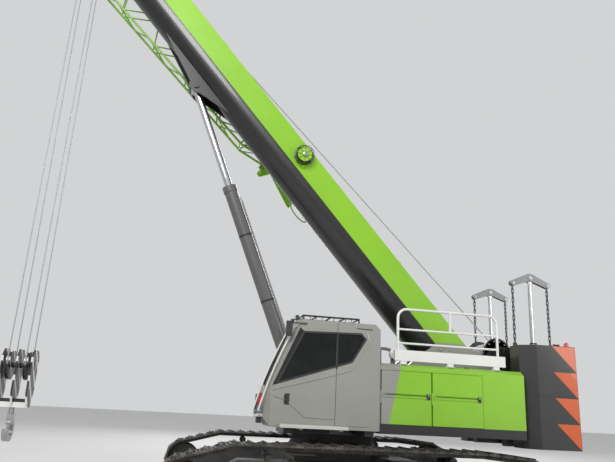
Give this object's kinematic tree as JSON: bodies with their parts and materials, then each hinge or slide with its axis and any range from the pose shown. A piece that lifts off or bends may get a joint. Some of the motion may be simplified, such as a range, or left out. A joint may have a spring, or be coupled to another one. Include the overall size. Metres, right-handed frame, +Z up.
{
  "type": "telescopic boom crawler crane",
  "caption": "Crawler crane with a telescopic boom, cab, counterweight with lifting gear, stowed lattice jib and hook block.",
  "frame": {"origin": "on the ground, in the middle of the whole machine's bounding box seen from above", "axes": "+X to the machine's front, +Y to its left (the cab side), +Z up"},
  "size_m": [10.3638, 4.9, 11.6086],
  "materials": {
    "frame_black": "satin",
    "black_paint": "satin",
    "green_paint": "gloss",
    "grey_paint": "gloss",
    "white_paint": "gloss",
    "track_steel": "worn",
    "steel": "brushed",
    "chrome": "polished",
    "glass": "polished",
    "seat_cloth": "matte"
  },
  "bodies": {
    "undercarriage": {"track_left": "track_steel", "track_right": "track_steel", "idlers": "track_steel", "sprockets": "track_steel", "track_frames": "frame_black", "rollers": "track_steel", "carbody": "frame_black", "slew_ring": "frame_black"},
    "superstructure": {"turntable": "grey_paint", "side_decks": "black_paint", "cab_support": "black_paint", "hood_left": "green_paint", "hood_right": "green_paint", "engine_block": "black_paint", "fuel_tank": "grey_paint", "cab_door": "grey_paint", "cab_shell": "grey_paint", "cab_glass": "glass", "operator_seat": "seat_cloth", "control_console": "black_paint", "step_board": "grey_paint", "roof_guard": "black_paint", "cab_mirror": "black_paint", "front_lamp": "black_paint", "handrail": "white_paint", "winch_frame": "black_paint", "lift_cylinders": "grey_paint"},
    "counterweight": {"counterweight": "black_paint", "lift_hats": "grey_paint", "lift_rods": "chrome", "lift_chains": "steel"},
    "winch": {"winch_drum": "black_paint"},
    "boom_foot": {"boom_foot_pin": "steel"},
    "boom_base": {"boom_base": "green_paint", "rope_guides": "grey_paint", "boom_reel": "green_paint", "stowed_jib": "green_paint", "jib_brackets": "green_paint"},
    "boom_2": {"boom_2": "green_paint"},
    "boom_3": {"boom_3": "green_paint"},
    "boom_4": {"boom_4": "green_paint"},
    "boom_5": {"boom_5": "green_paint"},
    "head_axle": {"head_axle": "steel"},
    "falls": {"head_sheaves": "steel", "hoist_falls": "steel"},
    "hook": {"hook_block": "grey_paint", "load_hook": "steel"},
    "luff_base": {"luff_base_pin": "steel"},
    "luff_barrel": {"luff_barrel": "grey_paint"},
    "luff_piston": {"luff_piston": "chrome"},
    "luff_rod": {"luff_rod": "chrome"},
    "hood_door_left_front": {"hood_door_left_front": "green_paint"},
    "hood_door_left_rear": {"hood_door_left_rear": "green_paint"},
    "hood_door_right_front": {"hood_door_right_front": "green_paint"},
    "hood_door_right_rear": {"hood_door_right_rear": "green_paint"}
  },
  "joints": [
    {"name": "slew", "type": "hinge", "parent": "undercarriage", "child": "superstructure", "pos_m": [-0.8919, 0, 1.1], "axis": [0, 0, 1], "continuous": true},
    {"name": "counterweight_lift", "type": "slide", "parent": "superstructure", "child": "counterweight", "axis": [0, 0, 1], "range_m": [-1, 0]},
    {"name": "winch_turn", "type": "hinge", "parent": "superstructure", "child": "winch", "pos_m": [-4.18191, 0, 2.79], "axis": [0, 1, 0], "continuous": true},
    {"name": "hood_left_front_open", "type": "hinge", "parent": "superstructure", "child": "hood_door_left_front", "pos_m": [-1.3919, 1.5, 1.785], "axis": [0, 0, -1], "range_deg": [0, 90]},
    {"name": "hood_left_rear_open", "type": "hinge", "parent": "superstructure", "child": "hood_door_left_rear", "pos_m": [-2.3289, 1.5, 1.785], "axis": [0, 0, -1], "range_deg": [0, 90]},
    {"name": "hood_right_front_open", "type": "hinge", "parent": "superstructure", "child": "hood_door_right_front", "pos_m": [-1.3919, -1.5, 1.785], "axis": [0, 0, 1], "range_deg": [0, 90]},
    {"name": "hood_right_rear_open", "type": "hinge", "parent": "superstructure", "child": "hood_door_right_rear", "pos_m": [-2.3289, -1.5, 1.785], "axis": [0, 0, 1], "range_deg": [0, 90]},
    {"name": "boom_lower", "type": "hinge", "parent": "superstructure", "child": "boom_foot", "pos_m": [-2.99191, 0, 2.65], "axis": [0, -1, 0], "range_deg": [-48.6, 0]},
    {"name": "boom_raise", "type": "hinge", "parent": "boom_foot", "child": "boom_base", "pos_m": [-2.99191, 0, 2.65], "axis": [0, -1, 0], "range_deg": [0, 26.4]},
    {"name": "telescope_2", "type": "slide", "parent": "boom_base", "child": "boom_2", "axis": [0.6613, 0, 0.7501], "range_m": [0, 7.75]},
    {"name": "telescope_3", "type": "slide", "parent": "boom_2", "child": "boom_3", "axis": [0.6613, 0, 0.7501], "range_m": [0, 7.75]},
    {"name": "telescope_4", "type": "slide", "parent": "boom_3", "child": "boom_4", "axis": [0.6613, 0, 0.7501], "range_m": [0, 7.75]},
    {"name": "telescope_5", "type": "slide", "parent": "boom_4", "child": "boom_5", "axis": [0.6613, 0, 0.7501], "range_m": [0, 7.75]},
    {"name": "plumb_lower", "type": "hinge", "parent": "boom_5", "child": "head_axle", "pos_m": [4.89991, 0, 11.22347], "axis": [0, -1, 0], "range_deg": [0, 48.6]},
    {"name": "plumb_raise", "type": "hinge", "parent": "head_axle", "child": "falls", "pos_m": [4.89991, 0, 11.22347], "axis": [0, -1, 0], "range_deg": [-26.4, 0]},
    {"name": "hoist", "type": "slide", "parent": "falls", "child": "hook", "axis": [0, 0, -1], "range_m": [-8.2, 0.6], "deforming": ["hoist_falls"]},
    {"name": "luff_tilt_low", "type": "hinge", "parent": "superstructure", "child": "luff_base", "pos_m": [-0.29191, 0, 1.6], "axis": [0, -1, 0], "range_deg": [-60.83, 0]},
    {"name": "luff_tilt_high", "type": "hinge", "parent": "luff_base", "child": "luff_barrel", "pos_m": [-0.29191, 0, 1.6], "axis": [0, -1, 0], "range_deg": [0, 24.51]},
    {"name": "luff_stroke_low", "type": "slide", "parent": "luff_barrel", "child": "luff_piston", "axis": [0.384, 0, 0.9233], "range_m": [-2.0398, 0]},
    {"name": "luff_stroke_high", "type": "slide", "parent": "luff_piston", "child": "luff_rod", "axis": [0.384, 0, 0.9233], "range_m": [0, 1.2998]}
  ],
  "couplings": [
    {"joint": "telescope_3", "follows": "telescope_2", "ratio": 1},
    {"joint": "telescope_4", "follows": "telescope_2", "ratio": 1},
    {"joint": "telescope_5", "follows": "telescope_2", "ratio": 1},
    {"joint": "plumb_lower", "follows": "boom_lower", "ratio": -1},
    {"joint": "plumb_raise", "follows": "boom_raise", "ratio": -1},
    {"joint": "luff_tilt_low", "follows": "boom_lower", "ratio": 1.2514},
    {"joint": "luff_tilt_high", "follows": "boom_raise", "ratio": 0.92805},
    {"joint": "luff_stroke_low", "follows": "boom_lower", "m_per_rad": 2.4042},
    {"joint": "luff_stroke_high", "follows": "boom_raise", "m_per_rad": 2.8198}
  ]
}
